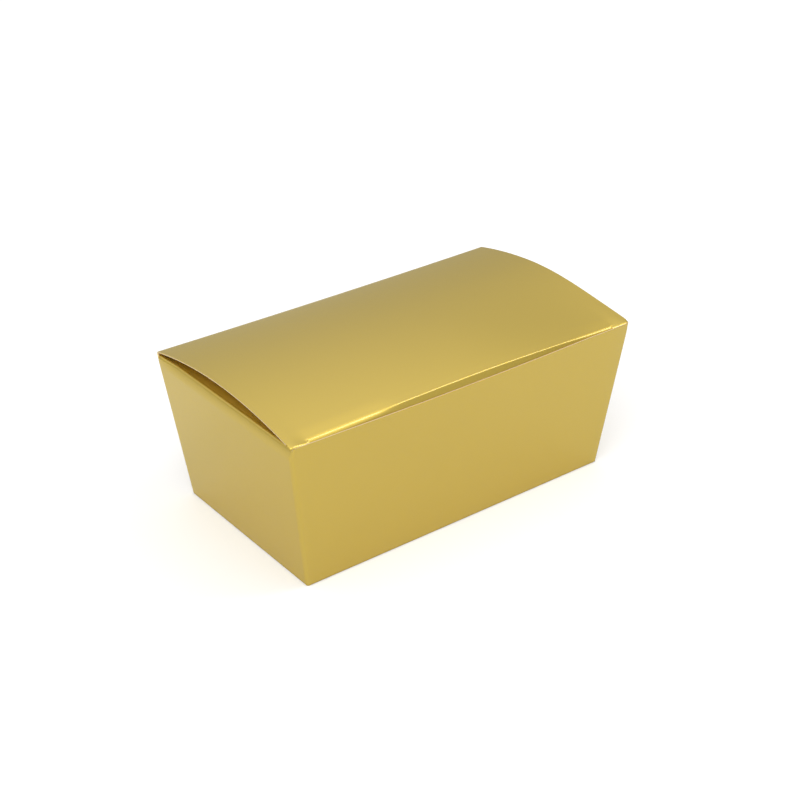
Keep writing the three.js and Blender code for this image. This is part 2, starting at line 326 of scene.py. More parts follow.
def widen(bm, edges, axis, reach):
    """Scales a row along an axis, so that it reaches as far as asked to each side."""
    verts = verts_of(edges)
    scale = Vector((1, 1, 1))
    scale[axis] = reach / max(abs(vert.co[axis]) for vert in verts)
    bmesh.ops.scale(bm, verts=verts, vec=scale)


def cut(bm, faces, place, normal):
    """Cuts faces along a plane."""
    edges = {edge for face in faces for edge in face.edges}
    verts = {vert for face in faces for vert in face.verts}
    bmesh.ops.bisect_plane(bm, geom=[*verts, *edges, *faces], plane_co=place, plane_no=normal)


def face_outwards(bm, side):
    """Makes an open sheet's faces look outwards: the face furthest to one side looks to that side."""
    side = Vector(side)
    bmesh.ops.recalc_face_normals(bm, faces=bm.faces[:])
    furthest = max(bm.faces, key=lambda face: face.calc_center_median().dot(side))
    if furthest.normal.dot(side) < 0:
        bmesh.ops.reverse_faces(bm, faces=bm.faces[:])


def thicken(bm):
    """Gives an outward-facing sheet the board's thickness, and its faces their materials."""
    outer = set(bm.faces)
    made = bmesh.ops.solidify(bm, geom=list(outer), thickness=sizes().board)["geom"]
    inner = {item for item in made if isinstance(item, bmesh.types.BMFace)}
    for face in bm.faces:
        face.smooth = True
        face.material_index = OUTSIDE if face in outer else INSIDE if face in inner else CUT_EDGE
    roll_film(bm)
    for edge in bm.edges:
        kinds = {face.material_index for face in edge.link_faces}
        edge.smooth = len(kinds) == 1 and edge.calc_face_angle(0) < FLAT_ANGLE


def verts_of_kind(bm, kind):
    return {vert for face in bm.faces if face.material_index == kind for vert in face.verts}


def roll_film(bm):
    """The die drags the film a little way over the cut edge, so the edge's outer part is gold."""
    outer, inner = verts_of_kind(bm, OUTSIDE), verts_of_kind(bm, INSIDE)
    across = [edge for edge in bm.edges if outer & set(edge.verts) and inner & set(edge.verts)]
    bmesh.ops.subdivide_edges(bm, edges=across, cuts=1)
    outer, inner = verts_of_kind(bm, OUTSIDE), verts_of_kind(bm, INSIDE)
    for vert in set(bm.verts) - outer - inner:
        ends = {edge.other_vert(vert) for edge in vert.link_edges}
        vert.co = (ends & outer).pop().co.lerp((ends & inner).pop().co, FILM_ROLL)
    for face in bm.faces:
        if face.material_index == CUT_EDGE and outer & set(face.verts):
            face.material_index = OUTSIDE


def new_object(name, data):
    made = bpy.data.objects.new(name, data)
    bpy.context.scene.collection.objects.link(made)
    return made


def mesh_object(bm, name, *materials):
    """Turns a bmesh into an object of the scene, with its materials."""
    mesh = bpy.data.meshes.new(name)
    bm.to_mesh(mesh)
    bm.free()
    for material in materials:
        mesh.materials.append(material)
    return new_object(name, mesh)


def finish_board(bm, name, nodes, side, body=None, bend=None):
    """Makes a sheet a piece of board that stands for nodes and rides on a body; given a bend, its place is
    only baked into its mesh.
    """
    face_outwards(bm, side)
    thicken(bm)
    piece = mesh_object(bm, name, gold_laminate(), bare_board(), cut_edge())
    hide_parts(*nodes)
    if bend:
        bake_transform(piece)
    else:
        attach(piece, body)
    return piece


# Sections of the folds


def round_between(circle_centre, circle_radius, line_point, line_direction, inward, radius):
    """Centre of the round that joins a line to the inside of a circle, in a section's plane."""
    base = line_point + inward * radius - circle_centre
    along = base.dot(line_direction)
    rest = math.sqrt(along ** 2 - base.length_squared + (circle_radius - radius) ** 2)
    step = min(-along + rest, -along - rest, key=abs)
    return circle_centre + base + line_direction * step


def lid_section():
    """Centres and turning points of the lid's section, in the plane of Y and Z."""
    s = sizes()
    rear, front = HINGES["lid_hinge"], HINGES["tuck_hinge"]
    half_span = (rear.y - front.y) / 2
    middle_radius = (half_span ** 2 + s.lid_rise ** 2) / (2 * s.lid_rise)
    arch_centre = Vector(((rear.y + front.y) / 2, rear.z + s.lid_rise - middle_radius))
    arch_radius = middle_radius + s.board / 2
    lean = side_lean()
    rear_direction = direction(math.pi / 2 - lean)
    rear_centre = round_between(
        arch_centre, arch_radius, Vector((half_width(s.height), s.height)),
        rear_direction, direction(math.pi - lean), s.fold_radius)
    tuck_direction = direction(-math.pi / 2 - TUCK_SPRING)
    tuck_inward = direction(-TUCK_SPRING)
    front_centre = round_between(
        arch_centre, arch_radius, Vector((front.y + FOLD_SET_BACK, front.z)) - tuck_inward * s.board / 2,
        tuck_direction, tuck_inward, s.fold_radius)
    outward = [(centre - arch_centre).normalized() for centre in (rear_centre, front_centre)]
    return {
        "arch_centre": arch_centre,
        "arch_radius": arch_radius,
        "rear_centre": rear_centre,
        "rear_start": rear_centre - direction(math.pi - lean) * s.fold_radius,
        "arch_start": arch_centre + outward[0] * arch_radius,
        "arch_end": arch_centre + outward[1] * arch_radius,
        "front_centre": front_centre,
        "front_end": front_centre - tuck_inward * s.fold_radius,
        "tuck_direction": tuck_direction,
        "arch_turn": outward[0].angle(outward[1]),
        "strip_turn": LID_FRONT_STRIP / arch_radius,
        "rear_turn": outward[0].angle(-direction(math.pi - lean)),
        "front_turn": outward[1].angle(-tuck_inward),
    }


def end_fold_section():
    """Where the right end flap's fold starts and ends, and its centre, in the plane of X and Z."""
    s = sizes()
    hinge = HINGES["right_flap_hinge"]
    heading = math.pi / 2 - end_lean() + math.atan(SHOULDER_HEIGHT / SHOULDER_RADIUS)
    flap_heading = math.pi + END_FLAP_DROOP
    outward = direction(flap_heading - math.pi / 2)
    target = Vector((hinge.x, hinge.z)).dot(outward) + s.board / 2

    def ends(z):
        start = Vector((half_length(z) - SHOULDER_SHIFT, z))
        centre = start + direction(heading + math.pi / 2) * END_FOLD_RADIUS
        return start, centre, centre + outward * END_FOLD_RADIUS

    low, high = (ends(z)[2].dot(outward) - target for z in (0, s.height))
    start, centre, end = ends(s.height * low / (low - high))
    return {
        "start": start, "centre": centre, "end": end,
        "turn": flap_heading - heading, "run": direction(flap_heading),
    }


def long_share(x, y, z):
    """0 on an end wall, 1 on a long wall, and between them round an upright fold."""
    radius = sizes().corner_radius
    seam = x > 0 and y > 0
    if seam and y > half_width(z) - SEAM_STEP / 2:
        return 1.0
    across = abs(x) - (half_length(z) - radius)
    along = abs(y) - (half_width(z) - (SEAM_STEP if seam else 0) - radius)
    if across <= 0:
        return 1.0
    if along <= 0:
        return 0.0
    return math.atan2(along, across) / (math.pi / 2)


def shoulder_share(y):
    """The soft bend under an end fold fades out towards the rear corner."""
    inside = (half_width(WALL_HEIGHT) - y) / SHOULDER_FADE
    return SHOULDER_LEAST + (1 - SHOULDER_LEAST) * ease(inside)


class CANDYBOX_OT_walls(bpy.types.Operator):
    """Folds the four walls, with the glued seam at the rear right corner"""

    bl_idname = "candybox.walls"
    bl_label = "Walls"

    def execute(self, context):
        s = sizes()
        bm = bmesh.new()
        plan = self.plan(0)
        foot = row_through(bm, plan)
        feet = [edge.verts[0] for edge in foot] + [foot[-1].verts[1]]
        sweep(bm, foot, (0, 0, s.height))
        tops = {
            vert: edge.other_vert(vert)
            for vert in feet for edge in vert.link_edges if edge.other_vert(vert).co.z > 0
        }
        for vert, point in zip(feet, self.plan(s.height)):
            tops[vert].co = point
        uprights = [
            edge for vert in feet[1:-1] for edge in vert.link_edges
            if edge.other_vert(vert) is tops[vert]
        ]
        bmesh.ops.bevel(
            bm, geom=uprights, offset=s.corner_radius, offset_type="OFFSET", segments=8,
            profile=0.5, affect="EDGES", material=-1)
        self.cut_rows(bm)
        self.shape(bm)
        finish_board(
            bm, "carton_walls",
            ["front_wall", "back_wall", "left_wall", "right_wall", "corner_fold_front_left",
             "corner_fold_front_right", "corner_fold_rear_left", "corner_fold_rear_right", "glue_tab"],
            (0, -1, 0), body="carton")
        return {"FINISHED"}

    @staticmethod
    def plan(z):
        """The strip of walls in plan, from the rear wall's cut edge round to the end of the glued tab."""
        s = sizes()
        length, width = half_length(z), half_width(z)
        return [
            Vector((length - s.board, width, z)),
            Vector((-length, width, z)),
            Vector((-length, -width, z)),
            Vector((length, -width, z)),
            Vector((length, width - SEAM_STEP, z)),
            Vector((length - s.corner_radius - SEAM_TAB_WIDTH, width - SEAM_STEP, z)),
        ]

    @staticmethod
    def cut_rows(bm):
        """Level cuts for the soft bends at the rim and the foot, and upright cuts for the front's bulge."""
        s = sizes()
        for level in FOOT_LEVELS + WALL_LEVELS + RIM_LEVELS:
            cut(bm, bm.faces[:], (0, 0, level * s.height), (0, 0, 1))
        for y in SHOULDER_CUTS:
            ends = [face for face in bm.faces if abs(face.normal.x) > 1 - FACING]
            cut(bm, ends, (0, y, 0), (0, 1, 0))
        front_limit = -half_width(0) + s.corner_radius
        for n in range(1, FRONT_COLUMNS):
            front = [
                face for face in bm.faces
                if abs(face.normal.x) < FACING and face.calc_center_median().y < front_limit
            ]
            cut(bm, front, (half_length(0) * (2 * n / FRONT_COLUMNS - 1), 0, 0), (1, 0, 0))

    @staticmethod
    def shape(bm):
        """Trims the strip to its folds, rolls in the tops of the end walls and pushes out the front."""
        s = sizes()
        rear_top = lid_section()["rear_start"].y
        end_top = end_fold_section()["start"].y
        tab_edge = SEAM_TAB_WIDTH + s.corner_radius
        for vert in bm.verts:
            x, y, z = vert.co
            share = long_share(x, y, z)
            on_tab = x > 0 and 0 < y < half_width(z) - SEAM_STEP / 2 and share == 1
            long_top = rear_top if y > 0 else s.height
            top = end_top + (long_top - end_top) * ease(2 * share)
            foot = BASE_FOLD_RADIUS * (2 * share - 1) ** 2
            if on_tab:
                inset = SEAM_TAB_BEVEL * (half_length(z) - s.corner_radius - x) / (tab_edge - s.corner_radius)
                foot, top = SEAM_TAB_FOOT + inset, rear_top - inset
            moved = foot + (top - foot) * z / s.height
            vert.co.x += x / half_length(z) * (half_length(moved) - half_length(z))
            vert.co.y += y / half_width(z) * (half_width(moved) - half_width(z))
            vert.co.z = moved - (rear_sag(x) * (z / s.height) ** 4 if y > 0 and share == 1 else 0)
            bend = max(0, moved - (end_top - SHOULDER_HEIGHT)) ** 2 / (2 * SHOULDER_RADIUS)
            vert.co.x -= math.copysign(bend * (1 - ease(share)) * shoulder_share(y), x)
            if y < 0 and share == 1:
                across = x / (half_length(z) - s.corner_radius)
                middle = max(0, 1 - across ** 2) * (moved / s.height) ** 2
                vert.co.y -= s.front_bulge * middle
                vert.co.z -= s.front_dip * middle
                drop = FRONT_DROP_RIGHT if x > 0 else FRONT_DROP_LEFT
                drop *= ease((abs(x) - FRONT_DROP_START) / FRONT_DROP_RUN)
                vert.co.z -= drop * (z / s.height) ** 4


class CANDYBOX_OT_end_flaps(bpy.types.Operator):
    """Folds the two end flaps, which lie under the lid"""

    bl_idname = "candybox.end_flaps"
    bl_label = "End flaps"

    def execute(self, context):
        for side, name in ((-1, "left"), (1, "right")):
            self.make(side, name)
        return {"FINISHED"}

    @staticmethod
    def reach(along):
        """Half of the flap's width at a distance from its fold."""
        s = sizes()
        shoulder, radius = END_FLAP_SHOULDER, END_FLAP_CORNER_RADIUS
        root = min(-HINGES["tuck_hinge"].y, HINGES["lid_hinge"].y) - END_FLAP_CLEARANCE
        straight = root - min(along, shoulder) - max(0, along - shoulder) * math.tan(END_FLAP_TAPER)
        return straight - round_off(radius, along - (s.end_flap_reach - radius))

    def make(self, side, name):
        s = sizes()
        fold = end_fold_section()
        hinge = HINGES["right_flap_hinge"]
        bm = bmesh.new()
        start = point_at("X", fold["start"])
        straight = half_width(fold["start"].y) - s.corner_radius
        half = straight + END_FOLD_OVERLAP * s.corner_radius
        edges = row(bm, start, Vector((0, half, 0)), END_FLAP_COLUMNS)
        edges = turn(bm, edges, point_at("X", fold["centre"]), (0, -1, 0), fold["turn"], FOLD_STEPS)
        for vert in bm.verts:
            vert.co.x -= round_off(s.corner_radius, abs(vert.co.y) - straight)
        last = (fold["end"] - Vector((hinge.x, hinge.z))).dot(fold["run"])
        run = point_at("X", fold["run"])
        for stop in END_FLAP_STOPS:
            along = stop * MM
            edges = sweep(bm, edges, run * (along - last))
            last = along
            widen(bm, edges, 1, self.reach(along))
        for vert in bm.verts:
            inside = (fold["end"].x - vert.co.x) / END_FLAP_SPRING_LENGTH
            if 0 < inside < SPRING_END:
                swell = ease((SPRING_END - inside) / (SPRING_END - SPRING_PEAK))
                if inside < SPRING_PEAK:
                    swell = math.sin(math.pi / 2 * inside / SPRING_PEAK)
                vert.co.z += END_FLAP_SPRING * swell * (1 - (vert.co.y / half) ** 2)
            vert.co.x += SHOULDER_SHIFT * (1 - shoulder_share(vert.co.y)) * (1 - ease(inside))
        if side < 0:
            bmesh.ops.scale(bm, verts=bm.verts[:], vec=(-1, 1, 1))
        mirror = Vector((side, 1, 1))
        finish_board(
            bm, f"{name}_end_flap_board", [f"{name}_end_flap", f"{name}_flap_crease"], (0, 0, 1),
            bend=("carton", f"end_flap_{name}", point_at("X", fold["start"]) * mirror,
                  point_at("X", fold["end"]) * mirror))


def bow_front(bm, weight):
    """Lifts the middle of the lid's front by the bow, and pushes it out with the front wall."""
    s = sizes()
    for vert in bm.verts:
        middle = max(0, 1 - (vert.co.x / LID_REACH) ** 2)
        vert.co.z += s.front_bow * middle ** BOW_SHAPE * weight(vert.co)
        vert.co.y -= s.front_bulge * middle * weight(vert.co)


def rear_sag(x):
    """How much lower the rear fold is in its middle than at its ends."""
    return REAR_SAG * max(0, 1 - (x / LID_REACH) ** 2)


def right_sag(x, y):
    """How far the front third of the lid's right end hangs under its arch."""
    along = clamp((forward_share(y) - SAG_START) / (1 - SAG_START))
    sag = SAG_MIDDLE * math.sin(math.pi * along ** SAG_SHAPE) + SAG_FRONT * along ** 2
    return sag * ease((x - SAG_NEAR) / SAG_RUN)


def fold_sink(x, distance):
    """How much lower the lid lies at a distance behind its front fold, towards the fold's ends."""
    left = ease((-SINK_LEFT_START - x) / SINK_LEFT_RUN)
    right = ease((x - SINK_RIGHT_START) / SINK_RIGHT_RUN)
    return (SINK_LEFT * left + SINK_RIGHT * right) * (1 - ease(distance / SINK_REACH))


class CANDYBOX_OT_lid(bpy.types.Operator):
    """Bends the lid from the rear wall over its arch"""

    bl_idname = "candybox.lid"
    bl_label = "Lid"

    def execute(self, context):
        section = lid_section()
        bm = bmesh.new()
        corner = [TUCK_REACH + (LID_REACH - TUCK_REACH) * share for share in CORNER_SHARES]
        xs = [-x for x in reversed(corner)]
        xs += [TUCK_REACH * (2 * n / FOLD_COLUMNS - 1) for n in range(FOLD_COLUMNS + 1)]
        xs += corner
        start = point_at("Y", section["rear_start"])
        edges = row_through(bm, [start + Vector((x, 0, 0)) for x in xs])
        rear_centre = point_at("Y", section["rear_centre"])
        edges = turn(bm, edges, rear_centre, (1, 0, 0), section["rear_turn"], FOLD_STEPS)
        arch_centre = point_at("Y", section["arch_centre"])
        strip_turn = section["strip_turn"]
        edges = turn(bm, edges, arch_centre, (1, 0, 0), section["arch_turn"] - strip_turn, ARCH_STEPS)
        corners = [edge for edge in edges if abs(sum(v.co.x for v in edge.verts) / 2) > TUCK_REACH]
        corner_turn = strip_turn + LID_CORNER_REACH / section["arch_radius"]
        corners = turn(bm, corners, arch_centre, (1, 0, 0), corner_turn, CORNER_STEPS)
        end = Vector((0, *corners[0].verts[0].co.yz))
        roll_centre = end + (arch_centre - end).normalized() * CUT_ROLL_RADIUS
        turn(bm, corners, roll_centre, (1, 0, 0), CUT_ROLL_TURN, CUT_ROLL_STEPS)
        bow_front(bm, lambda co: forward_share(co.y))
        for vert in bm.verts:
            forward = forward_share(vert.co.y)
            vert.co.z -= rear_sag(vert.co.x) * (1 - forward) + right_sag(vert.co.x, vert.co.y)
            if abs(vert.co.x) > TUCK_REACH - TOUCH:
                self.shape_corner(vert, forward)
        finish_board(
            bm, "lid_board", ["lid_panel", "lid_crease"], (0, 0, 1),
            bend=("carton", "lid", start, point_at("Y", section["arch_start"])))
        return {"FINISHED"}

    @staticmethod
    def shape_corner(vert, forward):
        """The lid widens a little towards its front, where its corners lie on the front wall's edge."""
        end = (abs(vert.co.x) - TUCK_REACH) / (LID_REACH - TUCK_REACH)
        wider = LID_FLARE * forward ** 3 - LID_REAR_INSET * (1 - forward) ** 6
        vert.co.x *= 1 + end * wider / abs(vert.co.x)
        beside = abs(vert.co.x) - TUCK_REACH
        if forward > CUT_EDGE_START:
            vert.co.y += LID_CORNER_SET_BACK * (1 - ease(beside / LID_CORNER_SET_BACK_RUN))
            into_corner = abs(vert.co.x) - LID_REACH - LID_FLARE + LID_CORNER_RADIUS
            vert.co.y += round_off(LID_CORNER_RADIUS, into_corner)
        free = ease(beside / LID_CORNER_RUN)
        vert.co.z += LID_CORNER_LIFT * free * clamp((forward - LIFT_START) / (1 - LIFT_START))
        vert.co.z -= fold_sink(vert.co.x, vert.co.y - HINGES["tuck_hinge"].y) * (1 - free)


class CANDYBOX_OT_tuck(bpy.types.Operator):
    """Bends the lid's front edge down into the tuck flap"""

    bl_idname = "candybox.tuck"
    bl_label = "Tuck flap"

    def execute(self, context):
        s = sizes()
        section = lid_section()
        bm = bmesh.new()
        arch_centre = point_at("Y", section["arch_centre"])
        strip_turn = section["strip_turn"]
        start = point_at("Y", section["arch_end"])
        start = Matrix.Rotation(-strip_turn, 3, "X") @ (start - arch_centre) + arch_centre
        edges = row(bm, start, Vector((TUCK_REACH, 0, 0)), FOLD_COLUMNS)
        edges = turn(bm, edges, arch_centre, (1, 0, 0), strip_turn, STRIP_STEPS)
        front_centre = point_at("Y", section["front_centre"])
        edges = turn(bm, edges, front_centre, (1, 0, 0), section["front_turn"], FOLD_STEPS)
        run = point_at("Y", section["tuck_direction"])
        for _ in range(2):
            edges = sweep(bm, edges, run * TUCK_SPRING_LENGTH / 2)
        inward = point_at("Y", direction(-TUCK_SPRING))
        bend_centre = Vector((0, *edges[0].verts[0].co.yz)) - inward * TUCK_BEND_RADIUS
        follow = side_lean() + TUCK_PRESS
        edges = turn(bm, edges, bend_centre, (-1, 0, 0), TUCK_SPRING + follow, FOLD_STEPS)
        run = point_at("Y", direction(-math.pi / 2 + follow))
        first = edges[0].verts[0].co.z
        length = (first - s.height + s.tuck_depth) / abs(run.z)
        last = 0.0
        for n in range(1, TUCK_ROWS + 1):
            stop = length * math.sin(n / TUCK_ROWS * math.pi / 2)
            edges = sweep(bm, edges, run * (stop - last))
            last = stop
            widen(bm, edges, 0, self.reach(s.height - edges[0].verts[0].co.z))
        self.round_fold(bm, section)
        bow_front(bm, self.bow_weight)
        for vert in bm.verts:
            above = clamp(1 + (vert.co.z - s.height) / SAG_DEPTH)
            vert.co.z -= right_sag(vert.co.x, vert.co.y) * above
        finish_board(
            bm, "tuck_board", ["tuck_flap", "tuck_crease"], (0, -1, 0),
            bend=("lid", "tuck", point_at("Y", section["arch_end"]), point_at("Y", section["front_end"])))
        return {"FINISHED"}

    @staticmethod
    def reach(depth):
        """Half of the tuck flap's length at a depth below the rim."""
        into_corner = depth - (sizes().tuck_depth - TUCK_CORNER_RADIUS)
        return TUCK_REACH - round_off(TUCK_CORNER_RADIUS, into_corner)

    @staticmethod
    def bow_weight(co):
        """Share of the bow at a place: rising over the lid, and fading out down the tuck flap."""
        s = sizes()
        below = s.height - BOW_EDGE - co.z
        if below < 0:
            return forward_share(co.y)
        return max(0, 1 - below / (s.tuck_depth - BOW_EDGE)) ** TUCK_BOW_FADE

    @staticmethod
    def fold_radius(x):
        """The fold is sharp in its middle and rounder towards its ends, where it is pressed down less."""
        left = ease((-ROUND_LEFT_START - x) / ROUND_LEFT_RUN)
        right = ease((x - ROUND_RIGHT_START) / ROUND_RIGHT_RUN)
        wave = WAVE * math.sin(x * WAVE_TURNS[0]) * math.sin(x * WAVE_TURNS[1] + WAVE_PHASE)
        return sizes().fold_radius + (ROUND_LEFT + 2 * wave) * left + (ROUND_RIGHT + wave) * right

    def round_fold(self, bm, section):
        """Redraws the fold's section with the radius that it has at each place along its length."""
        s = sizes()
        sharp = s.fold_radius
        centre = section["front_centre"]
        half_turn = section["front_turn"] / 2
        outwards = (section["arch_end"] + section["front_end"]) / 2 - centre
        outwards.normalize()
        along = Vector((outwards.y, -outwards.x))
        if along.dot(section["tuck_direction"]) < 0:
            along = -along
        apex = centre + outwards * sharp / math.cos(half_turn)
        for vert in bm.verts:
            point = Vector(vert.co.yz)
            distance = (point - apex).length
            if distance > FOLD_LIMIT or vert.co.z < s.height - FOLD_DEPTH:
                continue
            wide = self.fold_radius(vert.co.x)
            fade = 1 - ease((distance - FOLD_FADE) / FOLD_FADE)
            side = (point - apex).dot(along)
            turned = math.atan2((point - centre).dot(along), (point - centre).dot(outwards))
            reach = sharp * math.tan(half_turn)
            if abs(turned) < half_turn:
                length = sharp * turned
            else:
                length = math.copysign(distance - reach + sharp * half_turn, side)
            wide_reach = wide * math.tan(half_turn)
            if abs(length) < wide * half_turn:
                angle = length / wide
                wide_centre = apex - outwards * wide / math.cos(half_turn)
                moved = wide_centre + (outwards * math.cos(angle) + along * math.sin(angle)) * wide
            else:
                distance = abs(length) - wide * half_turn + wide_reach
                line = along * math.copysign(math.cos(half_turn), length) - outwards * math.sin(half_turn)
                moved = apex + line * distance
                moved = point.lerp(moved, fade)
            vert.co.y, vert.co.z = moved.x, moved.y - fold_sink(vert.co.x, distance)


class CANDYBOX_OT_base(bpy.types.Operator):
    """Folds the base: two end flaps with glued lugs, and two long flaps that lock"""

    bl_idname = "candybox.base"
    bl_label = "Base"

    def execute(self, context):
        for turned, name in ((False, "left"), (True, "right")):
            self.end_flap(turned, name)
        for turned, name in ((False, "front"), (True, "back")):
            self.long_flap(turned, name)
        return {"FINISHED"}

    @staticmethod
    def close(bm, turned, name, nodes):
        if turned:
            bmesh.ops.rotate(bm, verts=bm.verts[:], matrix=Matrix.Rotation(math.pi, 3, "Z"))
        finish_board(bm, name, nodes, (0, 0, -1), body="carton")

    @staticmethod
    def foot_fold(half_size, lean):
        """Start and centre of the fold under a wall, whose half size at a height is given."""
        tangent = BASE_FOLD_RADIUS * math.tan((math.pi / 2 - lean) / 2)
        height = tangent * math.cos(lean)
        return Vector((-half_size(height), height)), Vector((tangent - half_size(0), BASE_FOLD_RADIUS))

    def end_flap(self, turned, name):
        """An end flap of the base at the left end, with the lug beyond its 45 degree crease."""
        s = sizes()
        lean = end_lean()
        bm = bmesh.new()
        inset, reach, bevel = BASE_FLAP_INSET, BASE_FLAP_REACH, BASE_FLAP_BEVEL
        length = half_length(0) - s.board - GAP
        width = half_width(0) - s.board - GAP
        foot, centre = self.foot_fold(half_length, lean)
        half = half_width(foot.y) - s.corner_radius
        start = point_at("X", foot)
        edges = row(bm, start, Vector((0, half, 0)), BASE_FLAP_COLUMNS)
        edges = turn(bm, edges, point_at("X", centre), (0, -1, 0), math.pi / 2 - lean, BASE_FOLD_STEPS)
        x = centre.x
        stops = [
            (-length + s.corner_radius, width - s.corner_radius, width - inset),
            (-length + s.corner_radius + inset, width - inset, width - inset),
            (-length + s.corner_radius + bevel, width - inset, width - inset),
            (-length + reach, width - inset, width - inset - bevel),
        ]
        for stop, front, rear in stops:
            edges = sweep(bm, edges, (stop - x, 0, 0))
            x = stop
            verts = verts_of(edges)
            low, high = min(v.co.y for v in verts), max(v.co.y for v in verts)
            for vert in verts:
                share = (vert.co.y - low) / (high - low)
                vert.co.y = -front + (front + rear) * share
        self.score(bm, Vector((-length + s.corner_radius, -width + s.corner_radius, 0)))
        self.close(bm, turned, f"base_{name}_board", [f"base_flap_{name}", f"glue_lug_{name}"])

    @staticmethod
    def score(bm, corner):
        """Presses a groove along the 45 degree crease between the flap and its lug."""
        across = Vector((1, -1, 0)).normalized()
        for offset in (-SCORE_HALF_WIDTH, 0, SCORE_HALF_WIDTH):
            cut(bm, bm.faces[:], corner + across * offset, across)
        for vert in bm.verts:
            if abs((vert.co - corner).dot(across)) < TOUCH and vert.co.z < TOUCH:
                vert.co.z += SCORE_DEPTH

    def long_flap(self, turned, name):
        """A long flap of the base at the front wall, with the lock that lies over the other flap."""
        s = sizes()
        lean = side_lean()
        bm = bmesh.new()
        level, ramp = s.board + GAP, LONG_FLAP_RAMP
        rise = math.atan(level / ramp)
        foot, centre = self.foot_fold(half_width, lean)
        half = half_length(foot.y) - s.corner_radius
        lock_left, lock_right = -half_length(0) + LOCK_INSET, -LOCK_END
        xs = [-half, lock_left - GAP, lock_left, lock_left + LOCK_NOSE]
        xs += [lock_right - LOCK_NOSE, lock_right, lock_right + GAP, half / 2, half]
        start = point_at("Y", foot)
        edges = row_through(bm, [start + Vector((x, 0, 0)) for x in xs])
        edges = turn(bm, edges, point_at("Y", centre), (1, 0, 0), math.pi / 2 - lean, BASE_FOLD_STEPS)
        edges = turn(bm, edges, point_at("Y", centre), (1, 0, 0), rise, RISE_STEPS)
        y = edges[0].verts[0].co.y
        edges = sweep(bm, edges, (0, ramp, ramp * math.tan(rise) - edges[0].verts[0].co.z))
        edges = sweep(bm, edges, (0, -LONG_FLAP_STOP - y - ramp, 0))
        for vert in verts_of(edges):
            if abs(vert.co.x) > half - GAP:
                vert.co.x *= (half - LONG_FLAP_TAPER) / half
        middle = {edge: sum(v.co.x for v in edge.verts) / 2 for edge in edges}
        plain = [edge for edge in edges if middle[edge] > lock_right + GAP]
        sweep(bm, plain, (0, LONG_FLAP_LAP, 0))
        lock = [edge for edge in edges if lock_left < middle[edge] < lock_right]
        for run, climb in ((LONG_FLAP_LAP, level), (LOCK_REACH, 0), (LOCK_NOSE, 0)):
            lock = sweep(bm, lock, (0, run, climb))
        for vert in verts_of(lock):
            if vert.co.x < lock_left + GAP:
                vert.co.x += LOCK_BEVEL
            if vert.co.x > lock_right - GAP:
                vert.co.x -= LOCK_BEVEL
        self.close(bm, turned, f"base_{name}_board", [f"base_flap_{name}"])


# Materials, each made once and shared by every piece


def shader_tree(name):
    """A new node material, its tree and its Principled shader."""
    material = bpy.data.materials.new(name)
    material.use_nodes = True
    tree = material.node_tree
    return material, tree, tree.nodes["Principled BSDF"]


def add(tree, kind, **values):
    """Adds a node, and sets its inputs by name or its own properties."""
    node = tree.nodes.new(kind)
    for key, value in values.items():
        socket = node.inputs.get(key.replace("_", " ").title().replace("Of", "of"))
        if socket is None:
            setattr(node, key, value)
        else:
            socket.default_value = value
    return node


def set_inputs(node, values):
    for name, value in values.items():
        node.inputs[name].default_value = value


def noise_at(tree, scale, detail=2.0, stretch=(1, 1, 1)):
    """A noise texture in the piece's own place, in metres."""
    place = add(tree, "ShaderNodeTexCoord")
    mapping = add(tree, "ShaderNodeMapping", scale=stretch)
    noise = add(tree, "ShaderNodeTexNoise", scale=scale, detail=detail)
    tree.links.new(place.outputs["Object"], mapping.inputs["Vector"])
    tree.links.new(mapping.outputs["Vector"], noise.inputs["Vector"])
    return noise.outputs["Fac"]


def map_range(tree, value, low, high, start=0, end=1):
    """A value from start to end mapped to a range from low to high."""
    node = add(tree, "ShaderNodeMapRange", from_min=start, from_max=end)
    set_inputs(node, {"To Min": low, "To Max": high})
    tree.links.new(value, node.inputs["Value"])
    return node.outputs["Result"]


def vary_colour(tree, shader, factor, colour, darkest, lightest):
    """Lets a shader's colour vary between two shades of it."""
    node = add(tree, "ShaderNodeMix", data_type="RGBA")
    for socket, shade in ((6, darkest), (7, lightest)):
        node.inputs[socket].default_value = (*(min(1, channel * shade) for channel in colour), 1)
    tree.links.new(factor, node.inputs[0])
    tree.links.new(node.outputs[2], shader.inputs["Base Color"])


def roughen(tree, shader, height, strength, distance):
    bump = add(tree, "ShaderNodeBump", strength=strength, distance=distance)
    tree.links.new(height, bump.inputs["Height"])
    tree.links.new(bump.outputs["Normal"], shader.inputs["Normal"])
    return bump


@cache
def gold_laminate():
    """Satin metallised film on the outside of the board."""
    gold = bpy.context.scene.candy_box_colours.gold
    material, tree, shader = shader_tree("gold_laminate")
    set_inputs(shader, {
        "Metallic": 1.0,
        "Specular Tint": (0.86, 0.78, 0.32, 1),
        "Coat Weight": 1.0,
        "Coat IOR": 1.6,
        "Coat Roughness": 0.1,
    })
    clouds = noise_at(tree, scale=30, detail=3)
    vary_colour(tree, shader, clouds, gold, 0.985, 1.015)
    grain = noise_at(tree, scale=2500)
    tree.links.new(map_range(tree, grain, 0.40, 0.48), shader.inputs["Roughness"])
    roughen(tree, shader, grain, 0.06, 0.03 * MM)
    return material


def fibrous(name, paper, noise, darkest, lightest, roughness, strength, distance):
    """Uncoated paper, whose fibres vary its colour and its height."""
    material, tree, shader = shader_tree(name)
    fibres = noise_at(tree, **noise)
    vary_colour(tree, shader, fibres, paper, darkest, lightest)
    shader.inputs["Roughness"].default_value = roughness
    roughen(tree, shader, fibres, strength, distance)
    return material


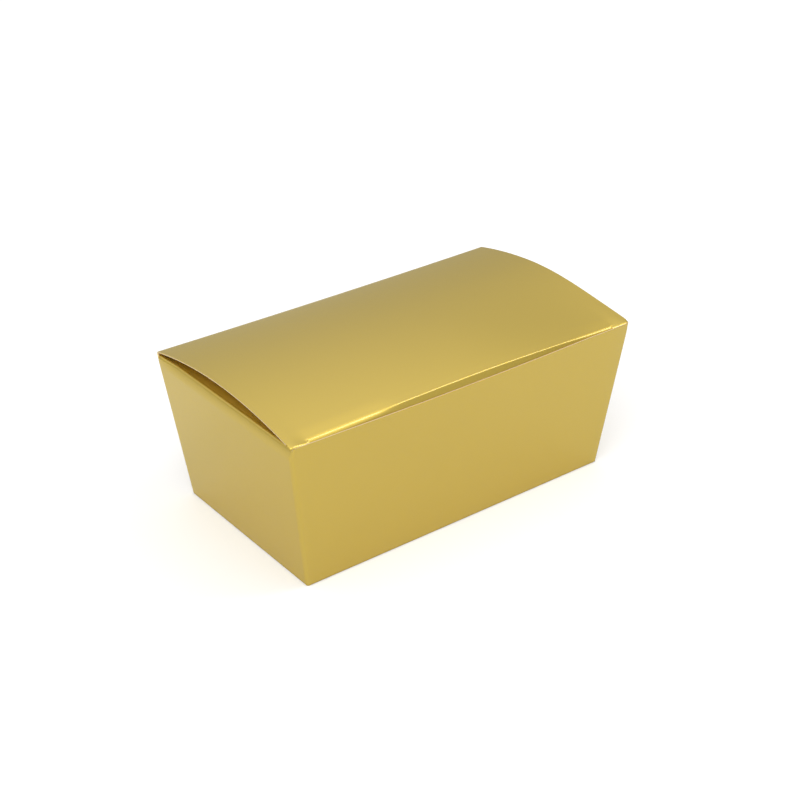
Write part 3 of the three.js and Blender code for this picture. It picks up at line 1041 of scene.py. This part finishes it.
@cache
def bare_board():
    """Uncoated tan inner face of the board."""
    return fibrous(
        "bare_board", bpy.context.scene.candy_box_colours.bare,
        {"scale": 1200, "detail": 6, "stretch": (1, 0.25, 1)},
        darkest=0.95, lightest=1.04, roughness=0.85, strength=0.15, distance=0.05 * MM)


@cache
def cut_edge():
    """Raw edge of the board, where its fibres show."""
    return fibrous(
        "cut_edge", bpy.context.scene.candy_box_colours.edge, {"scale": 4000, "detail": 4},
        darkest=0.9, lightest=1.08, roughness=0.9, strength=0.2, distance=0.03 * MM)


# Stage

CAMERA_PLACE = Vector((-275.1, -359.7, 282.4)) * MM
CAMERA_AZIMUTH = math.radians(-37.51)
CAMERA_ELEVATION = math.radians(29.28)
IMAGE_WIDTH = 800
FOCAL_PIXELS = 1640
FLOOR_LIFT = 0.2  # makes the floor white to the camera
FLOOR_GREY = 0.70
LAMP_AIM = Vector((0, 0, 30)) * MM
FLOOR_RADIUS = 4
FLOOR_DROP = 0.05 * MM
HORIZON_LIGHT, ZENITH_LIGHT = 0.51, 1.26  # strength of the studio's light
SKY_SHAPE = 1.7  # how slowly it grows above the horizon
SKY_TOP = 0.8  # value of the rise at which it is full
RIGHT_SHARE = 0.45  # share of it that is left at the far right
RIGHT_START, RIGHT_END = 0.48, 0.9  # sideways part of the direction between which it falls off


class CANDYBOX_OT_stage(bpy.types.Operator):
    """Sets up the floor, the soft light and the camera"""

    bl_idname = "candybox.stage"
    bl_label = "Stage"

    def execute(self, context):
        self.camera(context.scene)
        self.floor()
        self.lamp("right_softbox", place=(0.60, -0.32, 0.83), width=0.35, height=0.5, radiance=4.2)
        self.lamp("left_softbox", place=(-1.25, -0.95, 1.2), width=2.0, height=1.6, radiance=2.5)
        self.world(context.scene)
        context.scene.view_settings.view_transform = "Standard"
        return {"FINISHED"}

    @staticmethod
    def camera(scene):
        data = bpy.data.cameras.new("camera")
        data.sensor_width = 36
        data.lens = FOCAL_PIXELS / IMAGE_WIDTH * data.sensor_width
        data.clip_start, data.clip_end = 0.01, 50
        scene.camera = new_object("camera", data)
        scene.camera.location = CAMERA_PLACE
        scene.camera.rotation_euler = (math.pi / 2 - CAMERA_ELEVATION, 0, CAMERA_AZIMUTH)

    @staticmethod
    def floor():
        bm = bmesh.new()
        bmesh.ops.create_circle(
            bm, cap_ends=True, segments=96, radius=FLOOR_RADIUS,
            matrix=Matrix.Translation((0, 0, -FLOOR_DROP)))
        mesh_object(bm, "floor", floor_paint())

    @staticmethod
    def lamp(name, place, width, height, radiance):
        """A softbox that faces the box; its radiance is 1 where it looks as bright as white paper."""
        data = bpy.data.lights.new(name, "AREA")
        data.shape = "RECTANGLE"
        data.size, data.size_y = width, height
        data.energy = radiance * math.pi * width * height
        lamp = new_object(name, data)
        lamp.location = place
        lamp.rotation_euler = (LAMP_AIM - lamp.location).to_track_quat("-Z", "Y").to_euler()

    @staticmethod
    def world(scene):
        """A pale studio, dimmer at the horizon and to the right, and plain white where the camera sees it."""
        world = bpy.data.worlds.new("studio")
        world.use_nodes = True
        tree = world.node_tree
        background = tree.nodes["Background"]
        background.inputs["Color"].default_value = (1, 1, 1, 1)
        place = tree.nodes.new("ShaderNodeTexCoord")
        split = tree.nodes.new("ShaderNodeSeparateXYZ")
        tree.links.new(place.outputs["Generated"], split.inputs["Vector"])
        rise = add(tree, "ShaderNodeMath", operation="POWER", use_clamp=True)
        rise.inputs[1].default_value = SKY_SHAPE
        tree.links.new(split.outputs["Z"], rise.inputs[0])
        height = map_range(tree, rise.outputs["Value"], HORIZON_LIGHT, ZENITH_LIGHT, end=SKY_TOP)
        side = map_range(tree, split.outputs["X"], 1, RIGHT_SHARE, start=RIGHT_START, end=RIGHT_END)
        level = add(tree, "ShaderNodeMath", operation="MULTIPLY")
        tree.links.new(height, level.inputs[0])
        tree.links.new(side, level.inputs[1])
        path = tree.nodes.new("ShaderNodeLightPath")
        shown = tree.nodes.new("ShaderNodeMix")
        shown.inputs["B"].default_value = 1.0
        tree.links.new(path.outputs["Is Camera Ray"], shown.inputs["Factor"])
        tree.links.new(level.outputs["Value"], shown.inputs["A"])
        tree.links.new(shown.outputs["Result"], background.inputs["Strength"])
        scene.world = world


@cache
def floor_paint():
    """White paper, which looks white to the camera and keeps the box's shadow."""
    material, tree, shader = shader_tree("floor_paint")
    set_inputs(shader, {
        "Base Color": (FLOOR_GREY, FLOOR_GREY, FLOOR_GREY, 1),
        "Roughness": 1.0,
        "Specular IOR Level": 0.0,
        "Emission Color": (1, 1, 1, 1),
    })
    seen = tree.nodes.new("ShaderNodeLightPath").outputs["Is Camera Ray"]
    tree.links.new(map_range(tree, seen, 0, FLOOR_LIFT), shader.inputs["Emission Strength"])
    return material


class CANDYBOX_PT_panel(bpy.types.Panel):
    """Lists the steps that build the box"""

    bl_label = "Candy Box"
    bl_idname = "CANDYBOX_PT_panel"
    bl_space_type = "VIEW_3D"
    bl_region_type = "UI"
    bl_category = "Candy Box"

    def draw(self, context):
        for operator in STEPS:
            self.layout.operator(operator.bl_idname)
        for group in ("candy_box_sizes", "candy_box_colours"):
            values = getattr(context.scene, group)
            for name in values.__annotations__:
                self.layout.prop(values, name)


STEPS = (
    CANDYBOX_OT_stage, CANDYBOX_OT_walls, CANDYBOX_OT_end_flaps, CANDYBOX_OT_lid,
    CANDYBOX_OT_tuck, CANDYBOX_OT_base,
)
CLASSES = (CandyBoxSizes, CandyBoxColours, *STEPS, CANDYBOX_PT_panel)


def register():
    for item in CLASSES:
        bpy.utils.register_class(item)
    bpy.types.Scene.candy_box_sizes = bpy.props.PointerProperty(type=CandyBoxSizes)
    bpy.types.Scene.candy_box_colours = bpy.props.PointerProperty(type=CandyBoxColours)


def unregister():
    del bpy.types.Scene.candy_box_colours
    del bpy.types.Scene.candy_box_sizes
    for item in reversed(CLASSES):
        bpy.utils.unregister_class(item)


def main():
    register()
    bpy.ops.candybox.stage()
    bpy.ops.candybox.walls()
    bpy.ops.candybox.end_flaps()
    bpy.ops.candybox.lid()
    bpy.ops.candybox.tuck()
    bpy.ops.candybox.base()


if __name__ == "__main__":
    main()
